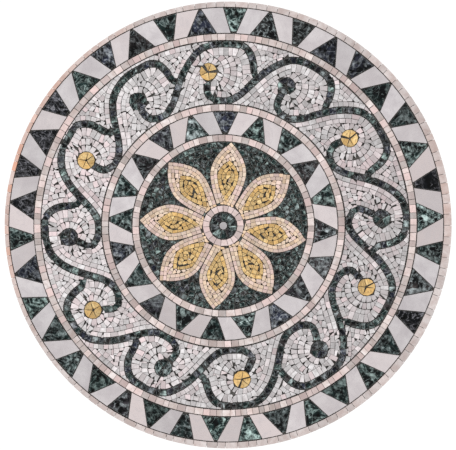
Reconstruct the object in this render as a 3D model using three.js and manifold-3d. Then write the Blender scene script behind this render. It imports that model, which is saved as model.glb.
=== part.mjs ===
// A round marble mosaic panel for a wall. Hand-cut stones stand on a glass-fibre mesh with open joints:
// a flower of eight petals, two rings of dark and pale rays, a running scroll of twelve waves between them,
// and narrow pink rings that part one zone from the next. The panel stands upright with its back against
// the wall: X runs to the right, Z up, and the stones face -Y. The origin is the middle of the back.

import * as THREE from 'three';
import { mergeVertices } from 'three/addons/utils/BufferGeometryUtils.js';
import Module from 'manifold-3d';

const wasm = await Module();
wasm.setup();

// Thicknesses, in millimetres
const BACKING_THICKNESS = 2;
const BED_THICKNESS = 1;
const STONE_THICKNESS = 8;
const CLEARANCE = 0.3;

// Joints between stones, and how far the mesh is trimmed back from the rim
const JOINT = 1;
const BACKING_INSET = 1;

// Zones, from the middle outwards
const PIP_RADIUS = 5.4;
const DISC_RADIUS = 18;
const RING_WIDTH = 8.5;
const PETAL_LENGTH = 84;
const INNER_RAY_LENGTH = 30.5;
const SCROLL_WIDTH = 83.2;
const OUTER_RAY_LENGTH = 33.6;
const EDGE_STRIP_WIDEST = 10.2;
const EDGE_STRIP_NARROWEST = 5.2;

// The medallion was laid a little off the middle of the panel, and the border a little less
const MEDALLION_SHIFT = 6.6;
const MEDALLION_SHIFT_ANGLE = 189;
const BORDER_SHIFT_ANGLE = 170;

// Petals: half their width at the belly, where the belly lies along the petal, and how far the neck draws in
const PETAL_HALF_WIDTH = 24;
const PETAL_BELLY = 0.49;
const PETAL_NECK = 0.57;
const PETAL_WANDER = { start: 38.6, once: 3.1, onceFrom: -71, twice: 0.5, twiceFrom: -26 };
const PETAL_COUNT = 8;

// The yellow heart of a petal starts this far beyond the petal's base and stops this far short of its tip
const HEART_HALF_WIDTH = 14.6;
const HEART_START = 4.5;
const HEART_STOP = 24;
const HEART_BELLY = 0.59;

// Rays: dark wedges stand alternately on the inner and the outer edge of their ring, and the pale rays
// fill what is left. Widths are shares of the pitch from one wedge to the next of its kind.
const RAY_BRIDGE = 1.5;
const INNER_RAYS = {
  count: 10,
  wander: { start: 32.8, once: 2.1, onceFrom: 5, twice: 0, twiceFrom: 0 },
  outward: { foot: 0.417, point: 0.042 },
  inward: { foot: 0.333, point: 0.069 },
  arcSteps: 2,
};
const OUTER_RAYS = {
  count: 19,
  wander: { start: 2.5, once: 0.8, onceFrom: -72, twice: 0.8, twiceFrom: 30 },
  outward: { foot: 0.449, point: 0.021 },
  inward: { foot: 0.322, point: 0.069 },
  arcSteps: 2,
};

// The running scroll. Each wave was laid by eye, so it has its own places: where its band rises, where its
// eye sits, where the band dives again and where the tail curls up into it, in degrees past an even round
// of places, and how far across the scroll its eye lies, the top of its band and the place where it springs
// from the band before. Every second eye is yellow. A dive turns by so many degrees over the scroll's width.
const BAND_WIDTH = 8.2;
const EYE_RADIUS = 11.5;
const DIVE_TURN = 17.3;
const WAVES = [
  { rise: -7.0, eye: 2.5, dive: 15.5, tail: 7.0, across: 0.57, top: 0.95, spring: 0.44 },
  { rise: -9.2, eye: 4.8, dive: 16.0, tail: 6.0, across: 0.49, top: 0.95, spring: 0.44 },
  { rise: -10.0, eye: 6.0, dive: 14.8, tail: 6.5, across: 0.49, top: 0.95, spring: 0.44 },
  { rise: -10.5, eye: 6.0, dive: 14.6, tail: 7.0, across: 0.52, top: 0.95, spring: 0.44 },
  { rise: -9.7, eye: 4.8, dive: 14.4, tail: 5.5, across: 0.46, top: 0.9, spring: 0.42 },
  { rise: -7.8, eye: 4.8, dive: 15.5, tail: 5.5, across: 0.49, top: 0.925, spring: 0.34 },
  { rise: -7.0, eye: 4.3, dive: 16.0, tail: 8.5, across: 0.54, top: 0.93, spring: 0.36 },
  { rise: -6.4, eye: 2.8, dive: 16.2, tail: 7.0, across: 0.55, top: 0.95, spring: 0.42 },
  { rise: -6.2, eye: 6.8, dive: 17.3, tail: 9.5, across: 0.53, top: 0.95, spring: 0.31 },
  { rise: -6.4, eye: 6.5, dive: 18.3, tail: 12.0, across: 0.53, top: 0.95, spring: 0.44 },
  { rise: -8.5, eye: 7.5, dive: 17.7, tail: 11.0, across: 0.55, top: 0.95, spring: 0.44 },
  { rise: -7.7, eye: 6.5, dive: 17.0, tail: 10.5, across: 0.53, top: 0.95, spring: 0.44 },
];

// Sides of the round outlines, and steps along the others
const EYE_SIDES = 10;
const WAVE_STEPS = 11;
const RIM_SIDES = 48;
const MIDDLE_SIDES = 36;
const INNER_SIDES = 30;
const FLOWER_SIDES = 18;
const PIP_SIDES = 10;
const PETAL_STEPS = 6;
const HEART_STEPS = 4;

const TURN = 2 * Math.PI;
const radians = THREE.MathUtils.degToRad;

// Heights above the back
const stoneFoot = BACKING_THICKNESS + CLEARANCE;
const bedTop = stoneFoot + BED_THICKNESS;
const overBed = bedTop + CLEARANCE;
const stoneTop = BACKING_THICKNESS + STONE_THICKNESS;
const above = stoneTop + STONE_THICKNESS;

// Radii of the zones, each worked out from the one inside it
function zone(inner, width) {
  return { inner, outer: inner + width };
}
const flowerRing = zone(DISC_RADIUS + JOINT, RING_WIDTH);
const petals = zone(flowerRing.outer + JOINT, PETAL_LENGTH);
const innerRing = zone(petals.outer + JOINT, RING_WIDTH);
const innerRays = zone(innerRing.outer + JOINT, INNER_RAY_LENGTH);
const middleRing = zone(innerRays.outer + JOINT, RING_WIDTH);
const scroll = zone(middleRing.outer + JOINT, SCROLL_WIDTH);
const outerRing = zone(scroll.outer + JOINT, RING_WIDTH);
const outerRays = zone(outerRing.outer + JOINT, OUTER_RAY_LENGTH);
const edgeStripInner = outerRays.outer + JOINT;
const panelRadius = edgeStripInner + (EDGE_STRIP_WIDEST + EDGE_STRIP_NARROWEST) / 2;

function shift(length, degrees) {
  return new THREE.Vector2(length, 0).rotateAround(new THREE.Vector2(), radians(degrees));
}
const medallionShift = shift(MEDALLION_SHIFT, MEDALLION_SHIFT_ANGLE);
const borderShift = shift((EDGE_STRIP_WIDEST - EDGE_STRIP_NARROWEST) / 2, BORDER_SHIFT_ANGLE);

// A point of the pattern. Its centre drifts from the medallion's to the border's across the scroll and rays.
function place(radius, angle) {
  const drift = (radius - scroll.inner) / (outerRays.outer - scroll.inner);
  const centre = medallionShift.clone().lerp(borderShift, THREE.MathUtils.clamp(drift, 0, 1));
  return new THREE.Vector2(Math.cos(angle), Math.sin(angle)).multiplyScalar(radius).add(centre);
}

function circle(radius, sides) {
  return Array.from({ length: sides }, (_, i) => place(radius, (i * TURN) / sides));
}

// A place in a round that was set out by eye: even steps that run ahead and lag behind once and twice a turn
function wandering(step, count, wander) {
  const even = radians(wander.start) + (step * TURN) / count;
  const once = wander.once * Math.sin(even + radians(wander.onceFrom));
  const twice = wander.twice * Math.sin(2 * even + radians(wander.twiceFrom));
  return even + radians(once + twice);
}

// Solids

function prism(outline, holes, low, high) {
  const shape = new THREE.Shape(outline);
  shape.holes = holes.map((hole) => new THREE.Path(hole));
  const geometry = new THREE.ExtrudeGeometry(shape, { depth: high - low, bevelEnabled: false });
  return geometry.translate(0, 0, low);
}

function solidOf(geometry) {
  const bare = geometry.clone();
  bare.deleteAttribute('normal');
  bare.deleteAttribute('uv');
  const merged = mergeVertices(bare);
  return new wasm.Manifold(
    new wasm.Mesh({
      numProp: 3,
      vertProperties: merged.attributes.position.array,
      triVerts: new Uint32Array(merged.index.array),
    }),
  );
}

function geometryOf(solid) {
  const mesh = solid.getMesh();
  const geometry = new THREE.BufferGeometry();
  geometry.setAttribute('position', new THREE.BufferAttribute(mesh.vertProperties, mesh.numProp));
  geometry.setIndex(new THREE.BufferAttribute(mesh.triVerts, 1));
  return geometry;
}

function joined(geometries) {
  return geometries.map(solidOf).reduce((sum, part) => sum.add(part));
}

function disc(radius, sides, low, high) {
  return prism(circle(radius, sides), [], low, high);
}

function ring(span, sides, low, high) {
  return prism(circle(span.outer, sides), [circle(span.inner, sides)], low, high);
}

// Backing and plain rings

function backing() {
  const radius = panelRadius - BACKING_INSET;
  return new THREE.CylinderGeometry(radius, radius, BACKING_THICKNESS, RIM_SIDES)
    .rotateX(Math.PI / 2)
    .translate(0, 0, BACKING_THICKNESS / 2);
}

function edgeStrip() {
  const rim = Array.from({ length: RIM_SIDES }, (_, i) => shift(panelRadius, (i * 360) / RIM_SIDES));
  return prism(rim, [circle(edgeStripInner, RIM_SIDES)], stoneFoot, stoneTop);
}

// Rays

// The dark wedges of a ring of rays. Each has a foot on one edge and a point by the other.
function wedges(rays, span) {
  const pitch = TURN / rays.count;
  const list = [];
  for (let i = 0; i < 2 * rays.count; i++) {
    const outward = i % 2 === 0;
    const shares = outward ? rays.outward : rays.inward;
    const footRadius = outward ? span.inner : span.outer;
    const farRadius = outward ? span.outer : span.inner;
    list.push({
      outward,
      middle: wandering(i / 2, rays.count, rays.wander),
      footRadius,
      farRadius,
      halfFoot: (shares.foot * pitch * footRadius) / 2,
      halfPoint: (shares.point * pitch * farRadius) / 2,
    });
  }
  return list;
}

// The four corners of a wedge in order of angle, grown by a margin. It starts a gap inside the edge that it
// stands on and stops a gap short of the far one.
function wedgeCorners(wedge, margin, footGap, endGap) {
  const length = wedge.farRadius - wedge.footRadius;
  const slant = Math.hypot(length, wedge.halfFoot - wedge.halfPoint) / Math.abs(length);
  const corner = (share, sign) => {
    const radius = THREE.MathUtils.lerp(wedge.footRadius, wedge.farRadius, share);
    const half = THREE.MathUtils.lerp(wedge.halfFoot, wedge.halfPoint, share) + margin * slant;
    return place(radius, wedge.middle + (sign * half) / radius);
  };
  const foot = footGap / Math.abs(length);
  const end = 1 - endGap / Math.abs(length);
  return [corner(foot, -1), corner(end, -1), corner(end, 1), corner(foot, 1)];
}

function paleRays(rays, span) {
  const all = wedges(rays, span);
  const edge = (outward) => {
    const feet = all.filter((wedge) => wedge.outward === outward);
    return feet.flatMap((wedge, i) => {
      const next = feet[(i + 1) % feet.length];
      const from = wedge.middle + wedge.halfFoot / wedge.footRadius;
      const to = next.middle - next.halfFoot / next.footRadius + (i + 1 === feet.length ? TURN : 0);
      const arc = [];
      for (let step = 1; step < rays.arcSteps; step++) {
        arc.push(place(wedge.footRadius, THREE.MathUtils.lerp(from, to, step / rays.arcSteps)));
      }
      return [...wedgeCorners(wedge, JOINT, 0, RAY_BRIDGE), ...arc];
    });
  };
  return prism(edge(false), [edge(true)], overBed, stoneTop);
}

// The dark wedges stand on a bed of adhesive. Their straight feet stay just inside its round edges.
function darkWedges(rays, span, sides) {
  const stones = wedges(rays, span).map((wedge) => {
    const bow = wedge.outward ? span.inner / Math.cos(wedge.halfFoot / span.inner) - span.inner : 0;
    const outline = wedgeCorners(wedge, 0, bow + JOINT, RAY_BRIDGE + JOINT);
    return prism(outline, [], stoneFoot + BED_THICKNESS / 2, stoneTop);
  });
  return geometryOf(joined([ring(span, sides, stoneFoot, bedTop), ...stones]));
}

// Scroll

function acrossScroll(share) {
  return THREE.MathUtils.lerp(scroll.inner, scroll.outer, share);
}

// A wave's places as angles, with the round of waves going on past the last one
function wave(i) {
  const turn = Math.floor(i / WAVES.length) * 360;
  const index = THREE.MathUtils.euclideanModulo(i, WAVES.length);
  const even = turn + (index * 360) / WAVES.length;
  const own = WAVES[index];
  return {
    ...own,
    rise: even + own.rise,
    eye: even + own.eye,
    dive: even + own.dive,
    tail: even + own.tail,
  };
}

function eyeCentre(i) {
  return place(acrossScroll(wave(i).across), radians(wave(i).eye));
}

// The middle line of one length of band: it springs from the dive before it, rises, runs over the top,
// dives under the next wave and curls up into that wave's eye
function bandLine(i) {
  const own = wave(i);
  const before = wave(i - 1);
  const next = wave(i + 1);
  const low = BAND_WIDTH / 2 / SCROLL_WIDTH;
  const route = [
    [before.dive + 3 + DIVE_TURN * (0.42 - own.spring), own.spring],
    [own.rise - 0.6, own.spring + 0.1],
    [own.rise + 0.4, 0.67],
    [own.rise + 2, 0.82],
    [own.rise + 4.6, Math.min(0.925, own.top)],
    [own.rise + 8.5, own.top],
    [own.dive - 11, own.top],
    [own.dive - 6.6, own.top - 0.06],
    [own.dive - 3, 0.75],
    [own.dive, 0.6],
    [own.dive + 3, 0.42],
    [own.dive + 5.6, 0.27],
    [own.dive + 8.6, 0.14],
    [own.dive + 12.5, low],
    [next.tail - 4.5, low],
    [next.tail - 1.2, 0.11],
    [next.tail, 0.24],
    [next.eye, next.across],
  ];
  return new THREE.SplineCurve(route.map(([angle, share]) => place(acrossScroll(share), radians(angle))));
}

// The outline of a strip of even width along a line
function strip(line, halfWidth) {
  const points = line.getPoints(WAVE_STEPS);
  const sides = points.map((point, i) => {
    const ahead = points[Math.min(i + 1, points.length - 1)];
    const behind = points[Math.max(i - 1, 0)];
    const along = ahead.clone().sub(behind).normalize();
    const sideways = new THREE.Vector2(-along.y, along.x).multiplyScalar(halfWidth);
    return { left: point.clone().add(sideways), right: point.clone().sub(sideways) };
  });
  return [...sides.map((side) => side.right), ...sides.map((side) => side.left).reverse()];
}

function eyePrism(i, radius, low, high) {
  const centre = eyeCentre(i);
  const outline = Array.from({ length: EYE_SIDES }, (_, side) =>
    shift(radius, (side * 360) / EYE_SIDES).add(centre),
  );
  return prism(outline, [], low, high);
}

const waveNumbers = WAVES.map((_, i) => i);
const darkEyes = waveNumbers.filter((i) => i % 2 === 0);
const yellowEyes = waveNumbers.filter((i) => i % 2 === 1);

function band() {
  const lengths = waveNumbers.map((i) => prism(strip(bandLine(i), BAND_WIDTH / 2), [], overBed, stoneTop));
  const eyes = darkEyes.map((i) => eyePrism(i, EYE_RADIUS, overBed, stoneTop));
  const pockets = yellowEyes.map((i) => eyePrism(i, EYE_RADIUS + JOINT, stoneFoot, above));
  return geometryOf(joined([...lengths, ...eyes]).subtract(joined(pockets)));
}

function field() {
  const lengths = waveNumbers.map((i) => prism(strip(bandLine(i), BAND_WIDTH / 2 + JOINT), [], bedTop, above));
  const eyes = waveNumbers.map((i) => eyePrism(i, EYE_RADIUS + JOINT, bedTop, above));
  const outline = circle(scroll.outer, RIM_SIDES);
  const ground = solidOf(prism(outline, [circle(scroll.inner, MIDDLE_SIDES)], stoneFoot, stoneTop));
  return geometryOf(ground.subtract(joined([...lengths, ...eyes])));
}

// Flower

function petalAngle(i) {
  return wandering(i, PETAL_COUNT, PETAL_WANDER);
}

// Half the width of a leaf-shaped stone field at a height between its base and its tip
function leafHalfWidth(leaf, height) {
  const belly = THREE.MathUtils.lerp(leaf.base, leaf.tip, leaf.belly);
  if (height > belly) {
    return leaf.halfWidth * (1 - ((height - belly) / (leaf.tip - belly)) ** 2);
  }
  return leaf.halfWidth * (1 - leaf.neck * ((belly - height) / (belly - leaf.base)) ** 1.5);
}

// The outline of a leaf grown by a margin, held between lines halfway to the petals on either side
function leafOutline(leaf, i, margin) {
  const middle = petalAngle(i);
  const side = (sign) => {
    const halfGap = (sign * (petalAngle(i + sign) - middle)) / 2;
    const points = [];
    for (let step = 0; step <= leaf.steps; step++) {
      const rise = Math.sin((step / leaf.steps) * (Math.PI / 2));
      const height = THREE.MathUtils.lerp(leaf.base, leaf.tip, rise);
      const free = leafHalfWidth(leaf, height);
      const held = height * Math.tan(halfGap) - JOINT / 2;
      const grown = Math.min(free, held) + margin;
      const stretched = height + margin * (2 * rise - 1);
      points.push(place(Math.hypot(stretched, grown), middle + sign * Math.atan2(grown, stretched)));
    }
    return points;
  };
  return [...side(-1), ...side(1).reverse()];
}

const petalLeaf = {
  base: petals.inner,
  tip: petals.outer,
  halfWidth: PETAL_HALF_WIDTH,
  belly: PETAL_BELLY,
  neck: PETAL_NECK,
  steps: PETAL_STEPS,
};
const heartLeaf = {
  base: petals.inner + HEART_START,
  tip: petals.outer - HEART_STOP,
  halfWidth: HEART_HALF_WIDTH,
  belly: HEART_BELLY,
  neck: 1,
  steps: HEART_STEPS,
};

function petal(i) {
  return prism(leafOutline(petalLeaf, i, 0), [leafOutline(heartLeaf, i, JOINT)], overBed, stoneTop);
}

function heart(i) {
  return prism(leafOutline(heartLeaf, i, 0), [], overBed, stoneTop);
}

function flowerGround() {
  const ground = solidOf(disc(petals.outer, INNER_SIDES, stoneFoot, stoneTop));
  const middle = disc(petals.inner, FLOWER_SIDES, bedTop, above);
  const pockets = Array.from({ length: PETAL_COUNT }, (_, i) =>
    prism(leafOutline(petalLeaf, i, JOINT), [], bedTop, above),
  );
  return geometryOf(ground.subtract(joined([middle, ...pockets])));
}

function flowerDisc() {
  const hole = circle(PIP_RADIUS + JOINT, PIP_SIDES);
  return prism(circle(DISC_RADIUS, FLOWER_SIDES), [hole], overBed, stoneTop);
}

// Stones

function stone(colour, roughness) {
  return new THREE.MeshStandardMaterial({ color: colour, roughness, metalness: 0 });
}
const greenMarble = stone(0x33423d, 0.45);
const paleMarble = stone(0xcdc4cb, 0.5);
const whiteMarble = stone(0xc9c5c2, 0.5);
const pinkMarble = stone(0xdfc4b4, 0.5);
const yellowMarble = stone(0xd3ad5c, 0.45);
const netting = stone(0xb9b6ad, 0.8);

const panel = new THREE.Group();
panel.rotation.x = Math.PI / 2;

function add(name, geometry, material) {
  const mesh = new THREE.Mesh(geometry, material);
  mesh.name = name;
  panel.add(mesh);
}

add('mesh_backing', backing(), netting);
add('edge_strip', edgeStrip(), pinkMarble);
add('outer_rays', paleRays(OUTER_RAYS, outerRays), paleMarble);
add('outer_wedges', darkWedges(OUTER_RAYS, outerRays, RIM_SIDES), greenMarble);
add('outer_ring', ring(outerRing, RIM_SIDES, stoneFoot, stoneTop), pinkMarble);
add('scroll_field', field(), whiteMarble);
add('scroll_band', band(), greenMarble);
yellowEyes.forEach((wave, i) => {
  add(`scroll_eye_${i + 1}`, eyePrism(wave, EYE_RADIUS, overBed, stoneTop), yellowMarble);
});
add('middle_ring', ring(middleRing, MIDDLE_SIDES, stoneFoot, stoneTop), pinkMarble);
add('inner_rays', paleRays(INNER_RAYS, innerRays), paleMarble);
add('inner_wedges', darkWedges(INNER_RAYS, innerRays, MIDDLE_SIDES), greenMarble);
add('inner_ring', ring(innerRing, INNER_SIDES, stoneFoot, stoneTop), pinkMarble);
add('flower_ground', flowerGround(), greenMarble);
for (let i = 0; i < PETAL_COUNT; i++) {
  add(`petal_${i + 1}`, petal(i), pinkMarble);
  add(`petal_heart_${i + 1}`, heart(i), yellowMarble);
}
add('flower_ring', ring(flowerRing, FLOWER_SIDES, overBed, stoneTop), pinkMarble);
add('flower_disc', flowerDisc(), greenMarble);
add('flower_pip', disc(PIP_RADIUS, PIP_SIDES, overBed, stoneTop), paleMarble);

export default panel;
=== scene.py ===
"""A round marble mosaic panel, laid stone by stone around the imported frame.

Every stone is planned on the panel's face first. A plan is drawn in millimetres, with each point a complex
number whose real part runs to the right and whose imaginary part runs up. Geometry Nodes then cut the planned
outlines to blocks, and the net on the back is a tree of its own.
"""

import bisect
import cmath
import math
import random
from collections import namedtuple
from itertools import product

import bpy
import numpy as np
from bpy.props import FloatProperty, FloatVectorProperty, IntProperty, PointerProperty
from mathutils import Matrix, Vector


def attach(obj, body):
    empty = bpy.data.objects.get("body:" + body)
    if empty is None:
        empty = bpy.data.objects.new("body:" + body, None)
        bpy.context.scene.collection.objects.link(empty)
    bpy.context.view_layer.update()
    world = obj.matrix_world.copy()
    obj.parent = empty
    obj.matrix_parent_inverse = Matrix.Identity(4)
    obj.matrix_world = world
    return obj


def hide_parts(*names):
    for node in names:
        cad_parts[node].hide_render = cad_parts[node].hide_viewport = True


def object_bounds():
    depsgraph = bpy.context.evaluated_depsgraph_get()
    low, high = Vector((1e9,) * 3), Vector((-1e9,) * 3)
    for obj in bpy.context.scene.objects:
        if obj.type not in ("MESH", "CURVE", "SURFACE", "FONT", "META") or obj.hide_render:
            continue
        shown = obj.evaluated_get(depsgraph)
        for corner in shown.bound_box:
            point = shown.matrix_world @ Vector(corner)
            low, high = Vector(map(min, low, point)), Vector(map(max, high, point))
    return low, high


bl_info = {
    "name": "Round Mosaic Panel",
    "version": (1, 0, 0),
    "blender": (4, 5, 0),
    "location": "View3D > Sidebar > Mosaic",
    "description": "Lays a round marble mosaic panel stone by stone on its net",
    "category": "Add Mesh",
}

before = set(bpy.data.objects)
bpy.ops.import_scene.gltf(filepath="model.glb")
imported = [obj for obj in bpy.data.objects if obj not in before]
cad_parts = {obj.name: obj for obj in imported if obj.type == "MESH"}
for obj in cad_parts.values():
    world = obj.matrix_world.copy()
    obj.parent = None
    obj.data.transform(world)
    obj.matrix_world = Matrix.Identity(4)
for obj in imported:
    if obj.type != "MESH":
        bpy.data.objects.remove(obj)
cad_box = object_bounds()

# Plan sizes in millimetres, as the part's source has them
MM = 0.001
JOINT = 1.0
BACKING_INSET = 1.0
PIP_RADIUS = 5.4
DISC_RADIUS = 18.0
RING_WIDTH = 8.5
PETAL_LENGTH = 84.0
INNER_RAY_LENGTH = 30.5
SCROLL_WIDTH = 83.2
OUTER_RAY_LENGTH = 33.6
EDGE_STRIP_WIDEST = 10.2
EDGE_STRIP_NARROWEST = 5.2
MEDALLION_SHIFT = cmath.rect(6.6, math.radians(189))
BORDER_SHIFT = cmath.rect((EDGE_STRIP_WIDEST - EDGE_STRIP_NARROWEST) / 2, math.radians(170))


def next_zone(inside, width):
    """The radii of a zone, one joint out from the zone inside it."""
    return inside[1] + JOINT, inside[1] + JOINT + width


# Radii of the zones, from the flower's middle out
FLOWER_RING = next_zone((0.0, DISC_RADIUS), RING_WIDTH)
PETALS = next_zone(FLOWER_RING, PETAL_LENGTH)
INNER_RING = next_zone(PETALS, RING_WIDTH)
INNER_RAYS = next_zone(INNER_RING, INNER_RAY_LENGTH)
MIDDLE_RING = next_zone(INNER_RAYS, RING_WIDTH)
SCROLL = next_zone(MIDDLE_RING, SCROLL_WIDTH)
OUTER_RING = next_zone(SCROLL, RING_WIDTH)
OUTER_RAYS = next_zone(OUTER_RING, OUTER_RAY_LENGTH)
EDGE_STRIP_INNER = OUTER_RAYS[1] + JOINT
PANEL_RADIUS = EDGE_STRIP_INNER + (EDGE_STRIP_WIDEST + EDGE_STRIP_NARROWEST) / 2

# Rounds that were set out: where they start, and how far they run ahead once and twice a turn
PETAL_COUNT = 8
PETAL_WANDER = {"start": 38.6, "once": 3.1, "once_from": -71, "twice": 0.5, "twice_from": -26}
INNER_WEDGES = {
    "count": 10,
    "wander": {"start": 32.8, "once": 2.1, "once_from": 5, "twice": 0, "twice_from": 0},
    "outward": (0.417, 0.042),
    "inward": (0.333, 0.069),
}
OUTER_WEDGES = {
    "count": 19,
    "wander": {"start": 2.5, "once": 0.8, "once_from": -72, "twice": 0.8, "twice_from": 30},
    "outward": (0.449, 0.021),
    "inward": (0.322, 0.069),
}

# Leaves: half width, where the belly lies, and how far the neck draws in
PETAL_LEAF = {"base": PETALS[0], "tip": PETALS[1], "half": 24.0, "belly": 0.49, "neck": 0.52}
HEART_LEAF = {"base": PETALS[0] + 4.5, "tip": PETALS[1] - 24.0, "half": 14.6, "belly": 0.59, "neck": 1.0}

# The scroll: its band's width, where the rows beside the band start, the steps between two places of the
# band's route, its eyes' radius and stones, and the degrees that a dive would take right across
BAND_WIDTH = 8.2
BAND_SIDE = BAND_WIDTH / 2 + 0.8
BAND_STEPS = 12
EYE_RADIUS = 11.5
EYE_STONES = 5
DIVE_TURN = 17.3

# Rise, eye, dive and tail of each wave in degrees past an even round of places, then how far across the
# scroll its eye, its top and its springing lie
WAVES = [
    (-7.0, 2.5, 15.5, 7.0, 0.57, 0.95, 0.44),
    (-9.2, 4.8, 16.0, 6.0, 0.49, 0.95, 0.44),
    (-10.0, 6.0, 14.8, 6.5, 0.49, 0.95, 0.44),
    (-10.5, 6.0, 14.6, 7.0, 0.52, 0.95, 0.44),
    (-9.7, 4.8, 14.4, 5.5, 0.46, 0.9, 0.42),
    (-7.8, 4.8, 15.5, 5.5, 0.49, 0.925, 0.34),
    (-7.0, 4.3, 16.0, 8.5, 0.54, 0.93, 0.36),
    (-6.4, 2.8, 16.2, 7.0, 0.55, 0.95, 0.42),
    (-6.2, 6.8, 17.3, 9.5, 0.53, 0.95, 0.31),
    (-6.4, 6.5, 18.3, 12.0, 0.53, 0.95, 0.44),
    (-8.5, 7.5, 17.7, 11.0, 0.55, 0.95, 0.44),
    (-7.7, 6.5, 17.0, 10.5, 0.53, 0.95, 0.44),
]

# Depths in millimetres, measured from the wall
FILM_BACK = 0.8
FILM_TOP = 2.0
STONE_FOOT = 1.9
HALFWAY_UP = 6.0
STONE_TOP = 10.0
SHADE_STARTS = 8.8
SMEAR_STARTS = 5.2

# Other sizes in millimetres, and how finely the film is divided
SHADE_FADES = 3.5
SMEAR_WANDER = 8.0
SIDE_RADIUS = 298.2
THREAD_WIDTH = 0.9
THREAD_THICKNESS = 0.5
WELD = 0.01
FILM_RINGS = 64
FILM_SECTORS = 288

# Open joints in millimetres, and how little the stones of the rings and the hearts are worn
RING_JOINT = 0.3
EYE_JOINT = 0.2
BAND_JOINT = 0.6
FIELD_JOINT = 0.22
PETAL_JOINT = 0.26
COLLAR_JOINT = 0.36
HEART_JOINT = 0.4
DISC_JOINT = 0.5
GROUND_JOINT = 0.6
LITTLE_WEAR = 0.6

# Colours of the marbles beside those in the sidebar
UMBER = (0.032, 0.026, 0.026)
BLACK = (0.002, 0.0025, 0.003)
FLECKS = ((0.205, 0.27, 0.255), (0.265, 0.26, 0.29))
ROSE = (0.70, 0.51, 0.475)
AMBER = (0.66, 0.40, 0.13)
VEIN_BROWN = (0.20, 0.12, 0.035)
WORN_ARRIS = (0.62, 0.6, 0.57)
RIM_ADHESIVE = (0.36, 0.345, 0.315)
# Painted shade: the colours that the sides of pale, dark and honey stones darken to down in the joints
PALE_JOINT_SHADE = (0.09, 0.078, 0.074)
DARK_JOINT_SHADE = (0.006, 0.006, 0.006)
HONEY_JOINT_SHADE = (0.035, 0.025, 0.012)

# The raster on which bare places are looked for and the grid that finds neighbours, in millimetres
CELL = 14.0
RASTER_REACH = 304
RASTER = np.arange(-RASTER_REACH, RASTER_REACH + 1, dtype=float)


# Plan geometry


def lerp(start, end, share):
    return start + (end - start) * share


def centre_at(radius):
    """The centre of the pattern's circle of this radius. It drifts across the scroll and the outer rays."""
    drift = (radius - SCROLL[0]) / (OUTER_RAYS[1] - SCROLL[0])
    return lerp(MEDALLION_SHIFT, BORDER_SHIFT, min(max(drift, 0.0), 1.0))


def place(radius, angle):
    return cmath.rect(radius, angle) + centre_at(radius)


def wandering(step, count, wander):
    even = math.radians(wander["start"]) + step * math.tau / count
    once = wander["once"] * math.sin(even + math.radians(wander["once_from"]))
    twice = wander["twice"] * math.sin(2 * even + math.radians(wander["twice_from"]))
    return even + math.radians(once + twice)


def area(outline):
    """The area of an outline that runs anticlockwise."""
    return sum((a.conjugate() * b).imag for a, b in zip(outline, outline[1:] + outline[:1])) / 2


def edges(outline):
    """A point on each edge of an anticlockwise outline, and the edge's outward direction."""
    found = []
    for start, end in zip(outline, outline[1:] + outline[:1]):
        length = abs(end - start)
        if length > 1e-6:
            found.append((start, -1j * (end - start) / length))
    return found


def beyond(point, start, normal):
    """How far a point lies beyond a line, in the direction of the line's normal."""
    return ((point - start) * normal.conjugate()).real


def keep(outline, start, normal):
    """The part of an outline that lies beyond a line."""
    kept = []
    previous = outline[-1]
    before = beyond(previous, start, normal)
    for corner in outline:
        after = beyond(corner, start, normal)
        if (before >= 0) != (after >= 0):
            kept.append(previous + (corner - previous) * before / (before - after))
        if after >= 0:
            kept.append(corner)
        previous = corner
        before = after
    return kept


def nip(outline, neighbour, joint):
    """The largest part of an outline that one straight cut leaves clear of a neighbour."""
    for start, normal in edges(outline):
        if all(beyond(corner, start, normal) >= joint for corner in neighbour):
            return outline
    best = []
    best_area = 0.0
    for start, normal in edges(neighbour):
        part = keep(outline, start + normal * joint, normal)
        if len(part) > 2 and area(part) > best_area:
            best = part
            best_area = area(part)
    return best


def between_circles(inner, outer):
    """A trim that keeps an outline between two of the pattern's circles."""

    def trim(outline):
        middle = sum(outline) / len(outline)
        for radius, side in ((inner, 1), (outer, -1)):
            outward = middle - centre_at(radius)
            outward /= abs(outward)
            if outline:
                outline = keep(outline, centre_at(radius) + outward * radius, outward * side)
        return outline

    return trim


def inside_border(border, reach=12.0):
    """A trim that keeps an outline inside a bulging border, looking only at the border near it."""
    lines = edges(border)

    def trim(outline):
        middle = sum(outline) / len(outline)
        for start, normal in lines:
            if outline and abs(start - middle) < reach:
                outline = keep(outline, start, -normal)
        return outline

    return trim


def raster_inside(border):
    """Which cells of the raster lie inside a closed border."""
    across = RASTER[:, None]
    up = RASTER[None, :]
    inside = np.zeros((len(RASTER), len(RASTER)), bool)
    for a, b in zip(border, border[1:] + border[:1]):
        if a.imag == b.imag:
            continue
        crosses = (a.imag > up) != (b.imag > up)
        where = a.real + (up - a.imag) * (b.real - a.real) / (b.imag - a.imag)
        inside ^= crosses & (across < where)
    return inside


def circle(radius, steps=180):
    return [place(radius, math.tau * step / steps) for step in range(steps)]


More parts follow.
